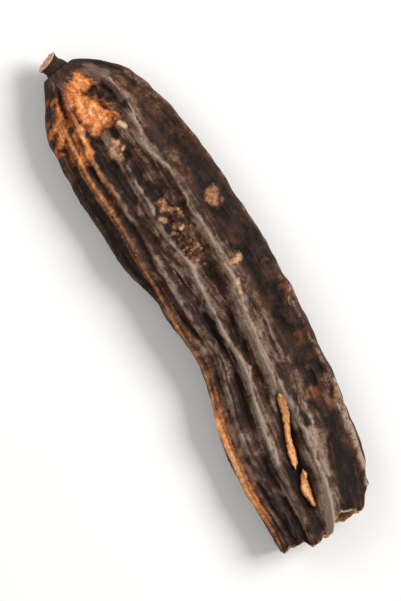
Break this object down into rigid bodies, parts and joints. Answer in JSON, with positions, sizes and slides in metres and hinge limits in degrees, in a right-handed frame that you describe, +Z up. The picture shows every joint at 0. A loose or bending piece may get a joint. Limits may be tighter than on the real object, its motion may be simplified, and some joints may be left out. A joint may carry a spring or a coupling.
{
  "type": "carob pod",
  "caption": "Dried carob pod broken across, lying on its broad side, with a stub of its stalk, a ribbed seam and folded leathery skin.",
  "frame": {"origin": "middle of the pod's box at the height of the surface it rests on", "axes": "+X along the pod from the stalk to the broken end, +Y from the belly seam to the back seam, +Z up from the surface"},
  "size_m": [0.0853, 0.0222, 0.0098],
  "materials": {
    "dried_skin": "dry, leathery, dark brown with lighter fold crests",
    "stalk_wood": "dry wood with a pale broken end"
  },
  "bodies": {
    "root": {"pod": "dried_skin", "stalk": "stalk_wood"}
  },
  "joints": []
}
